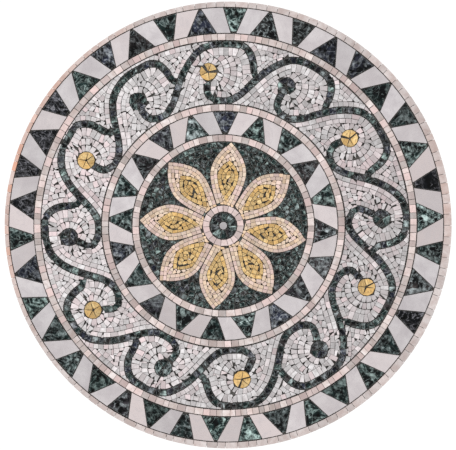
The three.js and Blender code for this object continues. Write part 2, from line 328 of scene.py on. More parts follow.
class Line:
    """A path through points, measured along its length."""

    def __init__(self, points):
        self.points = points
        self.measures = [0.0]
        for before, after in zip(points, points[1:]):
            self.measures.append(self.measures[-1] + abs(after - before))
        self.length = self.measures[-1]

    def at(self, measure):
        """The point at a measure along the line, and the direction there."""
        i = bisect.bisect_right(self.measures, measure) - 1
        i = min(max(i, 0), len(self.points) - 2)
        along = self.points[i + 1] - self.points[i]
        share = (measure - self.measures[i]) / abs(along)
        return self.points[i] + along * share, along / abs(along)

    def part(self, first, last):
        """The line between two of its points, named by their numbers."""
        return Line(self.points[first : last + 1])

    def beside(self, offset):
        """The line that runs beside this one, to its left, without the folds where a bend is too tight."""
        points = []
        for i, point in enumerate(self.points):
            ahead = self.points[min(i + 1, len(self.points) - 1)]
            behind = self.points[max(i - 1, 0)]
            along = (ahead - behind) / abs(ahead - behind)
            moved = point + 1j * along * offset
            if not points or ((moved - points[-1]) * along.conjugate()).real > 0.05:
                points.append(moved)
        return Line(points)


Stone = namedtuple("Stone", "outline tone tint")


def ranged(tones, tints):
    """A marble whose stones have a tone and a tint from anywhere in two ranges."""

    def marble(rng, point):
        return rng.uniform(*tones), rng.uniform(*tints)

    return marble


any_marble = ranged((0.0, 1.0), (0.0, 1.0))


def held(value):
    return min(max(value, 0.0), 1.0)


def box_of(outline, margin=0.0):
    """Where an outline ends at the left, at the right, below and above, with a margin round it."""
    across = [corner.real for corner in outline]
    up = [corner.imag for corner in outline]
    return min(across) - margin, max(across) + margin, min(up) - margin, max(up) + margin


def cells_under(box):
    """The cells of the plan's coarse grid that a box touches."""
    left, right, low, high = (int(end // CELL) for end in box)
    return product(range(left, right + 1), range(low, high + 1))


class Plan:
    """The stones laid so far. A new stone is nipped to fit beside its neighbours."""

    def __init__(self, seed):
        self.rng = random.Random(seed)
        self.laid = 0
        self.cells = {}
        self.covered = np.zeros((len(RASTER), len(RASTER)), bool)

    def near(self, outline, reach):
        """The outlines already laid whose boxes come near this one."""
        box = box_of(outline, reach)
        left, right, low, high = box
        found = {}
        for cell in cells_under(box):
            for number, (start, end, foot, top), other in self.cells.get(cell, ()):
                if start < right and end > left and foot < high and top > low:
                    found[number] = other
        return [found[number] for number in sorted(found)]

    def put(self, outline, margin):
        """Notes an outline as laid, and marks the raster that it covers."""
        box = box_of(outline)
        for cell in cells_under(box):
            self.cells.setdefault(cell, []).append((self.laid, box, outline))
        self.laid += 1
        left, right, low, high = (int(end) + RASTER_REACH for end in box_of(outline, margin))
        columns = slice(left - 1, right + 2)
        lines = slice(low - 1, high + 2)
        across = RASTER[columns, None]
        up = RASTER[None, lines]
        inside = np.ones((across.shape[0], up.shape[1]), bool)
        for start, normal in edges(outline):
            inside &= (across - start.real) * normal.real + (up - start.imag) * normal.imag < margin
        self.covered[columns, lines] |= inside

    def lay(self, stones, outline, joint=0.7, least=5.0, trim=None, marble=any_marble):
        """Lays one stone, trimmed and nipped to fit, unless less than the least area is left of it."""
        if trim:
            outline = trim(outline)
        if len(outline) < 3:
            return False
        for other in self.near(outline, joint):
            outline = nip(outline, other, joint)
            if len(outline) < 3 or area(outline) < least:
                return False
        self.put(outline, joint)
        stones.append(Stone(outline, *marble(self.rng, sum(outline) / len(outline))))
        return True

    def row(self, stones, line, width, length, joint=0.7, square=0.0, spread=0.15, **how):
        """Lays a row of stones with a line down its middle. Square stones leave open wedges round a bend."""
        count = max(1, round(line.length / length))
        steps = [self.rng.uniform(1 - spread, 1 + spread) for _ in range(count)]
        measure = 0.0
        for step in steps:
            reach = step / sum(steps) * line.length
            start, start_along = line.at(measure + joint / 2)
            end, end_along = line.at(measure + reach - joint / 2)
            chord = (end - start) / abs(end - start)
            half = width / 2 * self.rng.uniform(0.97, 1.0)
            outline = []
            for point, along, side in (
                (start, start_along, -half),
                (end, end_along, -half),
                (end, end_along, half),
                (start, start_along, half),
            ):
                slip = chord * self.rng.uniform(-0.25, 0.25)
                outline.append(point + 1j * lerp(along, chord, square) * side + slip)
            if area(outline) > 0:
                self.lay(stones, outline, joint, **how)
            measure += reach

    def gap(self, middle, length, width, angle):
        """Leaves a narrow slit open."""
        along = cmath.rect(length / 2, angle)
        across = cmath.rect(width / 2, angle) * 1j
        self.put([middle - along, middle - across, middle + along, middle + across], 0.0)

    def fill(self, stones, inside, size, joint=0.7, least=5.0, trim=None, marble=any_marble):
        """Fills what is bare, working inwards from the stones that are there, then mends what is left."""
        for wanted_depth, wanted_share, tries in (
            (size / 2, 0.72, 14),
            (size / 2 - 1, 0.5, 6),
            (2, 0.3, 4),
            (1, 0.16, 3),
        ):
            wanted = max(least, wanted_share * size * size)
            for _ in range(tries):
                depth = depths(inside & ~self.covered)
                chosen = depth >= wanted_depth
                if wanted_depth > 2 and (chosen & (depth <= wanted_depth + 1)).any():
                    chosen &= depth <= wanted_depth + 1
                places = np.argwhere(chosen)
                if not len(places):
                    break
                slope_x, slope_z = np.gradient(softened(depth))
                order = list(range(len(places)))
                self.rng.shuffle(order)
                if wanted_depth <= 2:
                    order.sort(key=lambda i: -depth[tuple(places[i])])
                before = self.laid
                for i in order:
                    column, line = places[i]
                    if self.covered[column, line]:
                        continue
                    middle = complex(RASTER[column], RASTER[line])
                    facing = math.atan2(slope_z[column, line], slope_x[column, line])
                    square = rough_square(self.rng, middle, size, facing)
                    self.lay(stones, square, joint, wanted, trim, marble)
                if self.laid == before:
                    break


def depths(bare):
    """How many cells each bare cell lies from the edge of its bare patch."""
    depth = np.zeros(bare.shape, np.int16)
    layer = np.pad(bare[1:-1, 1:-1], 1)
    while layer.any():
        depth += layer
        beside = layer[:-2, 1:-1] & layer[2:, 1:-1] & layer[1:-1, :-2] & layer[1:-1, 2:]
        layer = np.pad(layer[1:-1, 1:-1] & beside, 1)
    return depth


def softened(values):
    """Each value averaged with its neighbours, so that slopes run smoothly."""
    soft = values.astype(float)
    for _ in range(2):
        padded = np.pad(soft, 1, mode="edge")
        soft = (padded[:-2, 1:-1] + padded[2:, 1:-1] + padded[1:-1, :-2] + padded[1:-1, 2:] + soft) / 5
    return soft


def rough_square(rng, middle, size, facing):
    """The outline of a roughly square stone that faces a direction."""
    long_side = size * rng.uniform(1.0, 1.25)
    short_side = size * rng.uniform(0.85, 1.05)
    turned = cmath.rect(1, facing + rng.uniform(-0.12, 0.12))
    corners = []
    for across, along in ((-1, -1), (1, -1), (1, 1), (-1, 1)):
        slip = complex(rng.uniform(-0.07, 0.07), rng.uniform(-0.07, 0.07)) * size
        corners.append(middle + complex(across * short_side / 2, along * long_side / 2) * turned + slip)
    return corners


def chipped(rng, outline):
    """An outline as the hammer leaves it, with corners knocked off here and there and hollow edges."""
    corners = [corner for i, corner in enumerate(outline) if abs(corner - outline[i - 1]) > 0.5]
    if len(corners) < 3:
        corners = outline
    knocked = []
    for i, corner in enumerate(corners):
        if rng.random() < 0.4:
            bite = rng.uniform(0.2, 0.9)
            for other in (corners[i - 1], corners[(i + 1) % len(corners)]):
                side = other - corner
                knocked.append(corner + side * min(bite / max(abs(side), 0.01), 0.3))
        else:
            knocked.append(corner)
    hollowed = []
    for corner, after in zip(knocked, knocked[1:] + knocked[:1]):
        hollowed.append(corner)
        side = after - corner
        if abs(side) > 4.5:
            share = rng.uniform(0.35, 0.65)
            hollow = rng.uniform(0.0, 0.16)
            hollowed.append(corner + side * share + 1j * side / abs(side) * hollow)
    return hollowed if area(hollowed) > 0.5 * area(outline) else outline


# Node trees


def maths(operation, swapped=False):
    """A method of Value that adds one Math node."""

    def method(self, *others):
        values = (*others, self) if swapped else (self, *others)
        return self.sheet.add("ShaderNodeMath", {"operation": operation}, dict(enumerate(values)))

    return method


class Value:
    """A node's output, on which Python's operators add Math nodes."""

    def __init__(self, sheet, socket):
        self.sheet = sheet
        self.socket = socket

    __add__ = maths("ADD")
    __radd__ = maths("ADD", swapped=True)
    __sub__ = maths("SUBTRACT")
    __rsub__ = maths("SUBTRACT", swapped=True)
    __mul__ = maths("MULTIPLY")
    __rmul__ = maths("MULTIPLY", swapped=True)
    __truediv__ = maths("DIVIDE")
    __abs__ = maths("ABSOLUTE")
    root = maths("SQRT")
    at_least = maths("MAXIMUM")
    at_most = maths("MINIMUM")

    def held(self):
        """The value held between 0 and 1."""
        return self.at_most(1.0).at_least(0.0)


class NodeSheet:
    """A node tree that is being built."""

    def __init__(self, tree):
        self.tree = tree
        tree.nodes.clear()

    def node(self, kind, settings=None, inputs=None):
        """Adds a node. Its settings come first, because they decide which sockets it has."""
        node = self.tree.nodes.new(kind)
        for name, setting in (settings or {}).items():
            if name == "stops":
                self.set_stops(node.color_ramp, setting)
            else:
                setattr(node, name, setting)
        for key, given in (inputs or {}).items():
            if isinstance(given, Value):
                self.tree.links.new(given.socket, node.inputs[key])
            else:
                node.inputs[key].default_value = given
        return node

    def add(self, kind, settings=None, inputs=None, output=0):
        return Value(self, self.node(kind, settings, inputs).outputs[output])

    def set_stops(self, ramp, stops):
        while len(ramp.elements) < len(stops):
            ramp.elements.new(1.0)
        for element, (position, colour) in zip(ramp.elements, stops):
            element.position = position
            element.color = (*colour, 1.0)

    def vector(self, operation, *values, output=0):
        return self.add("ShaderNodeVectorMath", {"operation": operation}, dict(enumerate(values)), output)

    def joined(self, right=0.0, back=0.0, up=0.0):
        return self.add("ShaderNodeCombineXYZ", None, {0: right, 1: back, 2: up})

    def parts(self, vector):
        outputs = self.node("ShaderNodeSeparateXYZ", None, {0: vector}).outputs
        return [Value(self, output) for output in outputs]

    def coords(self):
        return self.add("ShaderNodeTexCoord", output=3)

    def attribute(self, name):
        return self.add("ShaderNodeAttribute", {"attribute_name": name}, output=2)

    def mixed(self, share, first, second, blend="MIX"):
        """Two colours mixed, the second one as far as the share says."""
        settings = {"data_type": "RGBA", "blend_type": blend, "clamp_factor": True}
        pair = [c if isinstance(c, Value) else (*c, 1.0) for c in (first, second)]
        return self.add("ShaderNodeMix", settings, {0: share, 6: pair[0], 7: pair[1]}, output=2)

    def shaded(self, colour, amount):
        """A colour made lighter or darker."""
        grey = self.add("ShaderNodeCombineColor", None, {0: amount, 1: amount, 2: amount})
        return self.mixed(1.0, colour, grey, "MULTIPLY")

    def noise(self, vector, scale, detail, roughness=0.55, distortion=0.0):
        inputs = {"Vector": vector, "Scale": scale, "Detail": detail, "Roughness": roughness}
        return self.add("ShaderNodeTexNoise", None, {**inputs, "Distortion": distortion})

    def veins(self, sharpness, *noise):
        """Thin lines where a noise crosses its middle."""
        return (1.0 - abs(self.noise(*noise) - 0.5) * sharpness).held()

    def surface(self, colour, roughness, relief, strength, depth, gloss=0.5):
        """Ends a material with its shader over a relief of this depth."""
        bump = self.add("ShaderNodeBump", None, {"Strength": strength, "Distance": depth, "Height": relief})
        inputs = {"Base Color": colour, "Roughness": roughness, "Normal": bump, "Specular IOR Level": gloss}
        shader = self.add("ShaderNodeBsdfPrincipled", None, inputs)
        self.node("ShaderNodeOutputMaterial", None, {"Surface": shader})


def new_material(name):
    material = bpy.data.materials.new(name)
    material.use_nodes = True
    return material, NodeSheet(material.node_tree)


class Marble:
    """A marble in the making: each stone's tone and tint, and the place in the block that it is cut from."""

    def __init__(self, name):
        self.material, sheet = new_material(name)
        self.sheet = sheet
        self.tone = sheet.attribute("tone")
        self.tint = sheet.attribute("tint")
        self.coords = sheet.coords()
        away = sheet.joined(self.tone * 3.1, self.tint * 2.3, (self.tone + self.tint) * 1.7)
        self.block = sheet.vector("ADD", self.coords, away)

    def finish(self, colour, grain_size, joint_shade, polish, uneven, gloss=0.5):
        """Paints shade in the joints down the stones' sides, smears adhesive on the rim, and adds worn
        arrises, roughness and relief.
        """
        sheet = self.sheet
        grain = sheet.noise(self.block, grain_size, 4.0, 0.65)
        right, back, up = sheet.parts(self.coords)
        rim = (((right * right + up * up).root() - SIDE_RADIUS * MM) / (0.6 * MM)).held()
        # Painted shade: from 1.2 mm under the face towards the wall the stones' sides darken, standing in for
        # the shade in the joints; the rim's outer sides are left out
        sunk = ((back + SHADE_STARTS * MM) / (SHADE_FADES * MM)).held() * (1.0 - rim)
        colour = sheet.mixed(sunk * 0.85, colour, joint_shade)
        ragged = (sheet.noise(self.coords, 60.0, 4.0) - 0.5) * (SMEAR_WANDER * MM)
        smear = ((back + SMEAR_STARTS * MM + ragged) / MM).held() * rim
        colour = sheet.mixed(smear * 0.9, colour, RIM_ADHESIVE)
        arris = sheet.attribute("arris")
        colour = sheet.mixed(arris * grain * 0.35, colour, WORN_ARRIS)
        roughness = (polish + grain * uneven + sunk * 0.3 + arris * 0.2).held()
        relief = grain * 0.7 + sheet.noise(self.coords, 900.0, 2.0) * 0.3
        sheet.surface(colour, roughness, relief, 0.5, 0.0004, gloss)
        return self.material


def pale_marble(name, light, deep, blush, cloud_size, spread, blush_share, vein_share, rose=None):
    """A pale marble: clouds of two colours, lighter, darker and blushing stones, thin grey veins."""
    marble = Marble(name)
    sheet = marble.sheet
    cloud = sheet.noise(marble.block, cloud_size, 4.0, 0.6, 0.4)
    colour = sheet.mixed(((cloud - 0.36) * 3.4).held(), deep, light)
    colour = sheet.mixed((marble.tint * marble.tint) * blush_share, colour, blush)
    if rose:
        colour = sheet.mixed(((0.4 - marble.tint) * 4.0).held() * 0.85, colour, rose)
    colour = sheet.shaded(colour, (1.0 - spread) + marble.tone * (spread * 2.0))
    veins = sheet.veins(26.0, marble.block, cloud_size * 0.8, 3.0, 0.5, 1.2)
    colour = sheet.mixed(veins * vein_share, colour, deep)
    grain = sheet.noise(marble.block, 420.0, 4.0, 0.65)
    colour = sheet.mixed(((grain - 0.5) * 2.2).held() * 0.25, colour, deep)
    return marble.finish(colour, 420.0, PALE_JOINT_SHADE, 0.42, 0.2)


def dark_marble(name, green, umber, slate, black, flecks, fleck_share):
    """A dark marble from green through brown and slate blue to black, with flecks of two colours."""
    marble = Marble(name)
    sheet = marble.sheet
    tone = marble.tone
    tint = marble.tint
    block = marble.block
    stops = [(0.0, green), (0.38, green), (0.52, umber), (0.66, slate), (1.0, black)]
    body = sheet.add("ShaderNodeValToRGB", {"stops": stops}, {0: tint})
    fleck = sheet.mixed(tint, *flecks)
    cloud = sheet.noise(block, 60.0, 3.0, 0.5, 0.6)
    body = sheet.mixed(((0.53 - cloud) * 9.0).held(), body, black)
    patch = sheet.noise(block, 78.0, 5.0, 0.66, 1.0)
    amount = ((patch - 0.5) * 9.5).held() * fleck_share * (1.25 - tint) * (0.45 + tone * 0.8)
    body = sheet.mixed(amount.held(), body, fleck)
    body = sheet.mixed(sheet.veins(30.0, block, 45.0, 4.0, 0.6, 2.0) * 0.6, body, fleck)
    speck = (sheet.noise(block, 170.0, 3.0, 0.6) - 0.5) * 6.4 + 1.05
    body = sheet.shaded(body, (0.6 + tone * 0.7) * speck)
    return marble.finish(body, 480.0, DARK_JOINT_SHADE, 0.38, 0.22, 0.09)


def yellow_marble(name, honey, amber, umber):
    """A honey marble with amber clouds and brown veins."""
    marble = Marble(name)
    sheet = marble.sheet
    cloud = sheet.noise(marble.block, 120.0, 4.0, 0.6, 0.6)
    colour = sheet.mixed(((cloud - 0.38) * 3.4).held(), amber, honey)
    colour = sheet.mixed(marble.tint * marble.tint * 0.8, colour, amber)
    colour = sheet.mixed(sheet.veins(20.0, marble.block, 110.0, 4.0, 0.6, 2.0) * 0.65, colour, umber)
    colour = sheet.shaded(colour, 0.74 + marble.tone * 0.42)
    return marble.finish(colour, 450.0, HONEY_JOINT_SHADE, 0.36, 0.2)


def film_material(name, colour, shade):
    """Dry adhesive, patchy and dull."""
    material, sheet = new_material(name)
    coords = sheet.coords()
    patch = sheet.noise(coords, 45.0, 5.0, 0.6)
    grain = sheet.noise(coords, 700.0, 3.0)
    mixed = sheet.mixed(((patch - 0.4) * 3.0).held(), colour, shade)
    sheet.surface(mixed, 0.7 + grain * 0.2, grain * 0.5 + patch, 0.6, 0.0005)
    return material


def thread_material(name, colour, shade):
    """Glass-fibre threads stiff with size, their strands showing along them."""
    material, sheet = new_material(name)
    coords = sheet.coords()
    strand = sheet.noise(coords, 1500.0, 2.0)
    soil = sheet.noise(coords, 25.0, 4.0)
    mixed = sheet.mixed((strand * 0.5 + soil * 0.5 - 0.2).held(), colour, shade)
    sheet.surface(mixed, 0.5 + soil * 0.3, strand, 0.5, 0.0002)
    return material


def new_tree(name, sizes):
    """A geometry tree with named sizes and a material, its sheet, its values and its modifier's keys."""
    tree = bpy.data.node_groups.new(name, "GeometryNodeTree")
    sheet = NodeSheet(tree)
    face = tree.interface
    face.new_socket("Geometry", in_out="INPUT", socket_type="NodeSocketGeometry")
    face.new_socket("Geometry", in_out="OUTPUT", socket_type="NodeSocketGeometry")
    keys = {}
    for label in (*sizes, "Material"):
        kind = "NodeSocketMaterial" if label == "Material" else "NodeSocketFloat"
        keys[label] = face.new_socket(label, in_out="INPUT", socket_type=kind).identifier
    group = sheet.node("NodeGroupInput")
    values = {socket.name: Value(sheet, socket) for socket in group.outputs if socket.name}
    return tree, sheet, values, keys


def close_tree(sheet, geometry, material):
    """Ends a tree with real geometry in its material."""
    real = sheet.add("GeometryNodeRealizeInstances", None, {0: geometry})
    flat = sheet.add("GeometryNodeSetShadeSmooth", None, {0: real, "Shade Smooth": False})
    dressed = sheet.add("GeometryNodeSetMaterial", None, {"Geometry": flat, "Material": material})
    sheet.node("NodeGroupOutput", None, {0: dressed})


def extruded(sheet, inputs):
    """Faces raised one by one: the mesh, its raised tops and its new sides."""
    node = sheet.node("GeometryNodeExtrudeMesh", {"mode": "FACES"}, {**inputs, "Individual": True})
    return [Value(sheet, node.outputs[key]) for key in ("Mesh", "Top", "Side")]


def named_face_value(sheet, name, kind="FLOAT"):
    return sheet.add("GeometryNodeInputNamedAttribute", {"data_type": kind}, {"Name": name})


def stone_tree():
    """Cuts flat outlines to blocks: a foot, walls, a worn arris and a face that leans a little."""
    tree, sheet, given, keys = new_tree("cut_stones", ("Wall Height", "Arris Width", "Arris Drop"))
    foot = sheet.add("GeometryNodeFlipFaces", None, {0: given["Geometry"]})
    walls, top, _ = extruded(sheet, {"Mesh": given["Geometry"], "Offset Scale": given["Wall Height"]})
    worn = {"Mesh": walls, "Selection": top, "Offset Scale": given["Arris Drop"]}
    block, top, side = extruded(sheet, worn)
    marked = sheet.add(
        "GeometryNodeStoreNamedAttribute",
        {"data_type": "FLOAT", "domain": "FACE"},
        {0: block, "Selection": side, "Name": "arris", "Value": 1.0},
    )
    position = sheet.add("GeometryNodeInputPosition")
    inward = sheet.vector("SUBTRACT", named_face_value(sheet, "middle", "FLOAT_VECTOR"), position)
    flat = sheet.vector("MULTIPLY", inward, (1.0, 0.0, 1.0))
    aim = sheet.vector("NORMALIZE", flat)
    drawn_in = sheet.vector("MULTIPLY", aim, sheet.joined(given["Arris Width"], 0.0, given["Arris Width"]))
    bevelled = sheet.add("GeometryNodeSetPosition", None, {0: marked, "Selection": top, "Offset": drawn_in})
    lean = named_face_value(sheet, "lean", "FLOAT_VECTOR")
    tip = sheet.vector("DOT_PRODUCT", flat, lean, output=1)
    down = sheet.joined(back=named_face_value(sheet, "lift") + tip)
    upper = sheet.add(
        "FunctionNodeCompare",
        {"data_type": "FLOAT", "operation": "LESS_THAN"},
        {0: sheet.parts(position)[1], 1: -HALFWAY_UP * MM},
    )
    leaned = sheet.add("GeometryNodeSetPosition", None, {0: bevelled, "Selection": upper, "Offset": down})
    join = sheet.node("GeometryNodeJoinGeometry")
    for part in (foot, leaned):
        tree.links.new(part.socket, join.inputs[0])
    loose = Value(sheet, join.outputs[0])
    welded = sheet.add("GeometryNodeMergeByDistance", None, {0: loose, "Distance": WELD * MM})
    close_tree(sheet, welded, given["Material"])
    return tree, keys


def net_tree():
    """Lays threads side by side across a disc, each as long as the disc is wide there."""
    sizes = ("Radius", "Pitch", "Width", "Thickness", "Depth", "Aside", "Turn")
    tree, sheet, given, keys = new_tree("net_threads", sizes)
    radius = given["Radius"]
    pitch = given["Pitch"]
    start = sheet.joined(given["Aside"] - radius + pitch * 0.4)
    line = {"Count": radius * 2.0 / pitch, "Start Location": start, "Offset": sheet.joined(pitch)}
    places = sheet.add("GeometryNodeMeshLine", {"mode": "OFFSET"}, line)
    across = sheet.parts(sheet.add("GeometryNodeInputPosition"))[0]
    chord = (radius * radius - across * across).at_least(1e-6).root() * 2.0
    thread = sheet.add("GeometryNodeMeshCylinder", None, {"Vertices": 6, "Radius": 0.5, "Depth": 1.0})
    scale = sheet.joined(given["Width"], given["Thickness"], chord)
    threads = {"Points": places, "Instance": thread, "Scale": scale}
    move = {
        "Geometry": sheet.add("GeometryNodeInstanceOnPoints", None, threads),
        "Translation": sheet.joined(back=0.0 - given["Depth"]),
        "Rotation": sheet.joined(back=given["Turn"]),
    }
    close_tree(sheet, sheet.add("GeometryNodeTransform", None, move), given["Material"])
    return tree, keys


# Pieces


def new_object(name, data):
    thing = bpy.data.objects.new(name, data)
    bpy.context.scene.collection.objects.link(thing)
    return thing


def run_tree(mesh, name, tree, keys, settings):
    """Runs a geometry tree on a mesh. The result is a plain mesh object."""
    holder = new_object(name + "_plan", mesh)
    modifier = holder.modifiers.new("tree", "NODES")
    modifier.node_group = tree
    for label, given in settings.items():
        modifier[keys[label]] = given
    bpy.context.view_layer.update()
    graph = bpy.context.evaluated_depsgraph_get()
    evaluated = holder.evaluated_get(graph)
    made = bpy.data.meshes.new_from_object(evaluated, preserve_all_data_layers=True, depsgraph=graph)
    made.name = name
    bpy.data.objects.remove(holder)
    bpy.data.meshes.remove(mesh)
    return new_object(name, made)


def stand_for(piece, nodes):
    """Parents a piece to the root and hides the CAD nodes that it stands for."""
    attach(piece, "root")
    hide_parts(*nodes)


def stone_piece(name, stones, marble, nodes, seed, wear=1.0):
    """Cuts a list of planned stones to one piece, which stands for its CAD nodes."""
    sizes = bpy.context.scene.mosaic_stones
    rng = random.Random(seed)
    corners = []
    faces = []
    lifts = []
    leans = []
    middles = []
    for stone in stones:
        outline = chipped(rng, stone.outline)
        faces.append(range(len(corners), len(corners) + len(outline)))
        corners += [(p.real * MM, -STONE_FOOT * MM, p.imag * MM) for p in outline]
        middle = sum(outline) / len(outline)
        reach = max(abs(p - middle) for p in outline)
        steepest = sizes.unevenness / MM / reach
        lean = cmath.rect(rng.uniform(0, steepest), rng.uniform(0, math.tau))
        lifts.append(abs(lean) * reach * MM + rng.uniform(0, sizes.unevenness))
        leans += [lean.real, 0.0, lean.imag]
        middles += [middle.real * MM, 0.0, middle.imag * MM]
    mesh = bpy.data.meshes.new(name + "_plan")
    mesh.from_pydata(corners, [], faces)
    for key, values in (
        ("tone", [stone.tone for stone in stones]),
        ("tint", [stone.tint for stone in stones]),
        ("lift", lifts),
    ):
        mesh.attributes.new(key, "FLOAT", "FACE").data.foreach_set("value", values)
    for key, values in (("lean", leans), ("middle", middles)):
        mesh.attributes.new(key, "FLOAT_VECTOR", "FACE").data.foreach_set("vector", values)
    settings = {
        "Wall Height": (STONE_TOP - STONE_FOOT) * MM - sizes.arris_drop * wear,
        "Arris Width": sizes.arris_width * wear,
        "Arris Drop": sizes.arris_drop * wear,
        "Material": marbles[marble],
    }
    piece = run_tree(mesh, name, *trees["stone"], settings)
    for key in ("lift", "lean", "middle"):
        piece.data.attributes.remove(piece.data.attributes[key])
    stand_for(piece, nodes)


trees = {}
marbles = {}


def ready():
    """Makes once the trees and marbles that the pieces share."""
    if trees:
        return
    trees["stone"] = stone_tree()
    trees["net"] = net_tree()
    colours = bpy.context.scene.mosaic_marbles
    marbles["green"] = dark_marble("green_marble", colours.green, UMBER, colours.slate, BLACK, FLECKS, 0.85)
    # Light, deep and blushing colour, clouds' size, spread of tones, shares of blush and veins, a rose colour
    for name, light, deep, blush, *shares in (
        ("pale", colours.lilac, (0.47, 0.435, 0.45), (0.60, 0.52, 0.515), 45.0, 0.15, 0.9, 0.35),
        ("white", colours.white, (0.44, 0.42, 0.42), (0.65, 0.52, 0.53), 110.0, 0.27, 0.9, 0.4),
        ("pink", colours.pink, (0.50, 0.41, 0.38), (0.64, 0.47, 0.455), 85.0, 0.32, 0.85, 0.45),
        ("edge", colours.pink, (0.51, 0.42, 0.40), colours.edge, 85.0, 0.2, 1.0, 0.3),
        ("petal", colours.petal, (0.63, 0.455, 0.36), (0.73, 0.495, 0.275), 100.0, 0.24, 1.0, 0.35, ROSE),
    ):
        marbles[name] = pale_marble(name + "_marble", light, deep, blush, *shares)
    marbles["yellow"] = yellow_marble("yellow_marble", colours.yellow, AMBER, VEIN_BROWN)


# Rings and edge strip


def closed_line(radius, steps=720):
    return Line([place(radius, math.tau * step / steps) for step in range(steps + 1)])


def edge_marble(rng, point):
    """The strip is reddest at the left, and a little warm at the right."""
    turn = math.degrees(cmath.phase(point)) % 360
    red = max(1 - abs(turn - 165) / 55, 0.3 - abs((turn + 180) % 360 - 190) / 90, 0.02)
    return rng.uniform(0.0, 0.65), math.sqrt(red) * rng.uniform(0.45, 0.95)


def edge_stones(plan, length):
    """The narrow strip round the rim, wide on one side and narrow on the other."""
    stones = []
    count = round(math.tau * PANEL_RADIUS / length)
    angles = [math.tau * (i + plan.rng.uniform(-0.2, 0.2)) / count for i in range(count)]
    gap = 0.2 / PANEL_RADIUS
    for start, end in zip(angles, [*angles[1:], angles[0] + math.tau]):
        inner = [place(EDGE_STRIP_INNER, lerp(start + gap, end - gap, share)) for share in (0.0, 0.5, 1.0)]
        outer = [cmath.rect(PANEL_RADIUS - 0.05, cmath.phase(point)) for point in inner]
        plan.lay(stones, [*inner[::-1], *outer], joint=0.0, least=2.0, marble=edge_marble)
    return stones


# Rays


def ray_sides(wedges, span):
    """Each wedge of a zigzag ring: its middle, its half widths at foot and point, and the radii of both."""
    pitch = math.tau / wedges["count"]
    sides = []
    for i in range(2 * wedges["count"]):
        outward = i % 2 == 0
        foot, point = (share * pitch / 2 for share in wedges["outward" if outward else "inward"])
        middle = wandering(i / 2, wedges["count"], wedges["wander"])
        sides.append((middle, foot, point, *(span if outward else span[::-1])))
    return sides


def wedge_half(side, radius):
    """Half the angle that a wedge takes up at a radius."""
    _, foot, point, foot_radius, far_radius = side
    share = (radius - foot_radius) / (far_radius - foot_radius)
    return lerp(foot * foot_radius, point * far_radius, share) / radius


def cut_wedge(side):
    """The dark stone of one wedge, clear of the ring at its foot and well clear of the one at its point."""
    middle, _, _, foot_radius, far_radius = side
    toward = 1 if far_radius > foot_radius else -1
    foot = foot_radius + 0.5 * toward
    end = far_radius - 2.2 * toward
    left = [place(r, middle - wedge_half(side, r)) for r in (foot, end)]
    right = [place(r, middle + wedge_half(side, r)) for r in (end, foot)]
    outline = [*left, *right, place(foot, middle)]
    return outline if area(outline) > 0 else outline[::-1]


def cut_ray(before, after, span):
    """The pale stone between two neighbouring wedges."""
    sides = []
    for radius in span:
        start = before[0] + wedge_half(before, radius) + JOINT / radius
        end = after[0] - wedge_half(after, radius) - JOINT / radius
        sides.append([place(radius, angle) for angle in (start, (start + end) / 2, end)])
    inner, outer = sides
    return inner[::-1] + outer


# Scroll


def spline(points):
    """A smooth line through points."""
    found = []
    for before, start, end, after in zip(points[:1] + points, points, points[1:], points[2:] + points[-1:]):
        leave = (end - before) / 2
        arrive = (after - start) / 2
        cubic = 2 * start - 2 * end + leave + arrive
        square = -3 * start + 3 * end - 2 * leave - arrive
        for step in range(BAND_STEPS):
            t = step / BAND_STEPS
            found.append(cubic * t**3 + square * t**2 + leave * t + start)
    return [*found, points[-1]]


def wave(i):
    """A wave's places as degrees round the panel and shares across the scroll."""
    even = 30.0 * i
    rise, eye, dive, tail, across, top, spring = WAVES[i % len(WAVES)]
    return even + rise, even + eye, even + dive, even + tail, across, top, spring


def across_scroll(share):
    return lerp(SCROLL[0], SCROLL[1], share)


def eye_centre(i):
    _, eye, _, _, across, _, _ = wave(i)
    return place(across_scroll(across), math.radians(eye))


def band_line(i):
    """The middle line of one length of band, from its springing to the next wave's eye."""
    rise, _, dive, _, _, top, spring = wave(i)
    last_dive = wave(i - 1)[2]
    _, next_eye, _, next_tail, next_across, _, _ = wave(i + 1)
    low = BAND_WIDTH / 2 / SCROLL_WIDTH
    route = [
        (last_dive + 3 + DIVE_TURN * (0.42 - spring), spring),
        (rise - 0.6, spring + 0.1),
        (rise + 0.4, 0.67),
        (rise + 2, 0.82),
        (rise + 4.6, min(0.925, top)),
        (rise + 8.5, top),
        (dive - 11, top),
        (dive - 6.6, top - 0.06),
        (dive - 3, 0.75),
        (dive, 0.6),
        (dive + 3, 0.42),
        (dive + 5.6, 0.27),
        (dive + 8.6, 0.14),
        (dive + 12.5, low),
        (next_tail - 4.5, low),
        (next_tail - 1.2, 0.11),
        (next_tail, 0.24),
        (next_eye, next_across),
    ]
    return Line(spline([place(across_scroll(s), math.radians(a)) for a, s in route]))


def eye_stones(plan, stones, centre, marble):
    """An eye of pie-shaped stones round a small slit, with open notches here and there round its rim."""
    rng = plan.rng
    plan.gap(centre + complex(rng.uniform(-1, 1), rng.uniform(-1, 1)), 4.6, 2.2, rng.uniform(0, math.pi))
    turn = rng.uniform(0, math.tau)
    cuts = [turn + math.tau * (i + rng.uniform(-0.3, 0.3)) / EYE_STONES for i in range(EYE_STONES)]
    gap = 0.12 / EYE_RADIUS
    for start, end in zip(cuts, [*cuts[1:], cuts[0] + math.tau]):
        rim = [centre + cmath.rect(EYE_RADIUS, lerp(start + gap, end - gap, s)) for s in (0, 0.33, 0.67, 1)]
        inner = centre + cmath.rect(0.9, (start + end) / 2)
        plan.lay(stones, [inner, *rim], joint=EYE_JOINT, marble=marble)
    for _ in range(4):
        facing = rng.uniform(0, math.tau)
        notch = centre + cmath.rect(EYE_RADIUS + 1.3, facing)
        plan.gap(notch, rng.uniform(2.5, 4.5), 1.8, facing + math.pi / 2)


